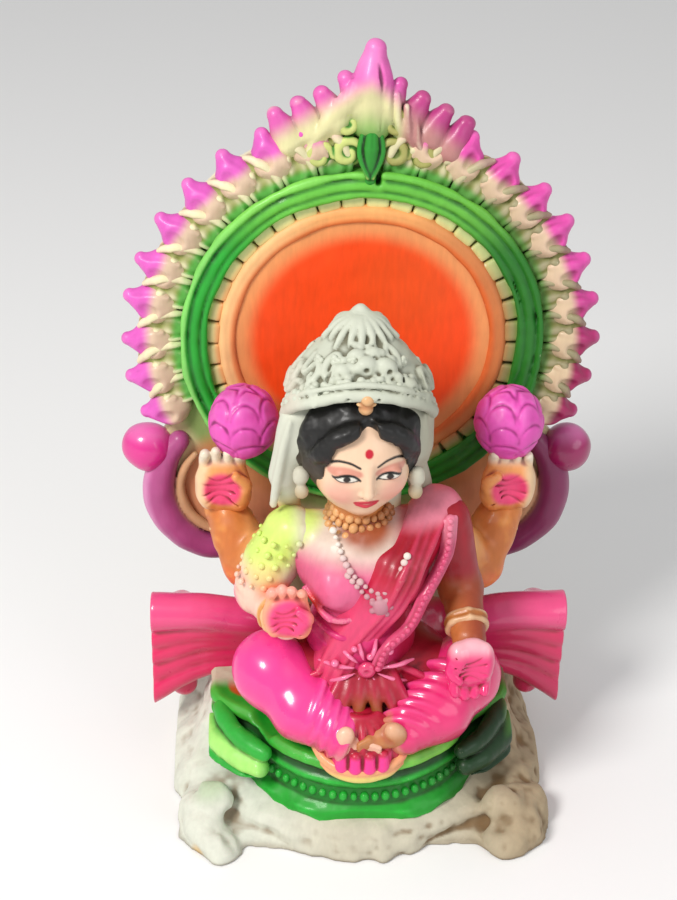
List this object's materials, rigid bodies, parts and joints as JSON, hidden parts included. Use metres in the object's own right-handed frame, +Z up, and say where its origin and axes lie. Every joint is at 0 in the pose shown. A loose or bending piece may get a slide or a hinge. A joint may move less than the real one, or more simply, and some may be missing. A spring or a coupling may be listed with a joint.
{
  "type": "hindu deity statue",
  "caption": "Seated four-armed goddess statuette in painted clay on a rock pedestal with a green seat mat, in front of an upright round halo edged with petals.",
  "frame": {"origin": "on the surface that the pedestal stands on, under the middle of the statue's width and depth", "axes": "+Z up, +Y from the figure's front to the back of its halo, +X to the viewer's right as the figure faces them"},
  "size_m": [0.1178, 0.076, 0.1785],
  "materials": {
    "pedestal_limewash": "matt limewash over clay, grime in the hollows",
    "plate_cream": "matt cream ground coat on clay",
    "mat_green": "semi-gloss enamel paint",
    "mat_lime": "semi-gloss enamel paint",
    "halo_orange": "brushed enamel, soft sheen",
    "halo_peach": "sprayed peach over cream, soft sheen",
    "halo_lime": "sprayed lime over whitewash",
    "halo_green": "semi-gloss enamel paint",
    "halo_olive": "oversprayed olive and cream",
    "petal_magenta": "semi-gloss enamel paint",
    "scroll_violet": "semi-gloss enamel paint",
    "sari_pink": "glossy enamel paint",
    "sari_crimson": "semi-gloss enamel paint",
    "hem_orange": "brushed enamel",
    "blouse_paint": "lime, white and pink overspray",
    "skin_tan": "sprayed tan over cream",
    "skin_pink": "sprayed pink over tan",
    "face_cream": "smooth hand-painted enamel",
    "hair_black": "glossy black, chipped",
    "crown_white": "matt whitewash with grime in the relief",
    "gold_tan": "rubbed tan over cream",
    "lotus_orchid": "semi-gloss enamel paint",
    "peg_wood": "bare bamboo",
    "pin_wire": "bare wire"
  },
  "bodies": {
    "root": {"pedestal": "pedestal_limewash", "halo_plate": "plate_cream", "seat_mat": "mat_green", "mat_bead_row": "mat_green", "mat_side_rolls": "mat_lime", "halo_disc": "halo_orange", "halo_inner_moulding": "halo_peach", "halo_dentils": "halo_lime", "halo_ring": "halo_green", "finial_leaf": "halo_green", "halo_scroll_petals": "halo_olive", "finial_scrolls": "halo_olive", "halo_outer_petals": "petal_magenta", "halo_finial": "petal_magenta", "halo_lower_scrolls": "scroll_violet", "halo_knobs": "scroll_violet", "right_leg": "sari_pink", "left_leg": "sari_pink", "scarf_right": "sari_pink", "scarf_left": "sari_pink", "sari_border": "sari_pink", "waist_rosette": "sari_pink", "lap": "sari_crimson", "pleat_fan": "sari_crimson", "sari_drape": "sari_crimson", "pleat_hem": "hem_orange", "torso": "blouse_paint", "right_front_arm": "blouse_paint", "left_front_arm": "skin_tan", "right_rear_arm": "skin_tan", "left_rear_arm": "skin_tan", "right_rear_hand": "skin_tan", "left_rear_hand": "skin_tan", "right_foot": "skin_tan", "left_foot": "skin_tan", "right_front_hand": "skin_pink", "left_front_hand": "skin_pink", "head": "face_cream", "hair": "hair_black", "crown": "crown_white", "crown_florets": "crown_white", "veil": "crown_white", "earrings": "crown_white", "necklace": "crown_white", "choker": "gold_tan", "bangles": "gold_tan", "forehead_ornament": "gold_tan", "right_lotus": "lotus_orchid", "left_lotus": "lotus_orchid", "halo_pegs": "peg_wood", "right_lotus_pin": "pin_wire", "left_lotus_pin": "pin_wire"}
  },
  "joints": []
}
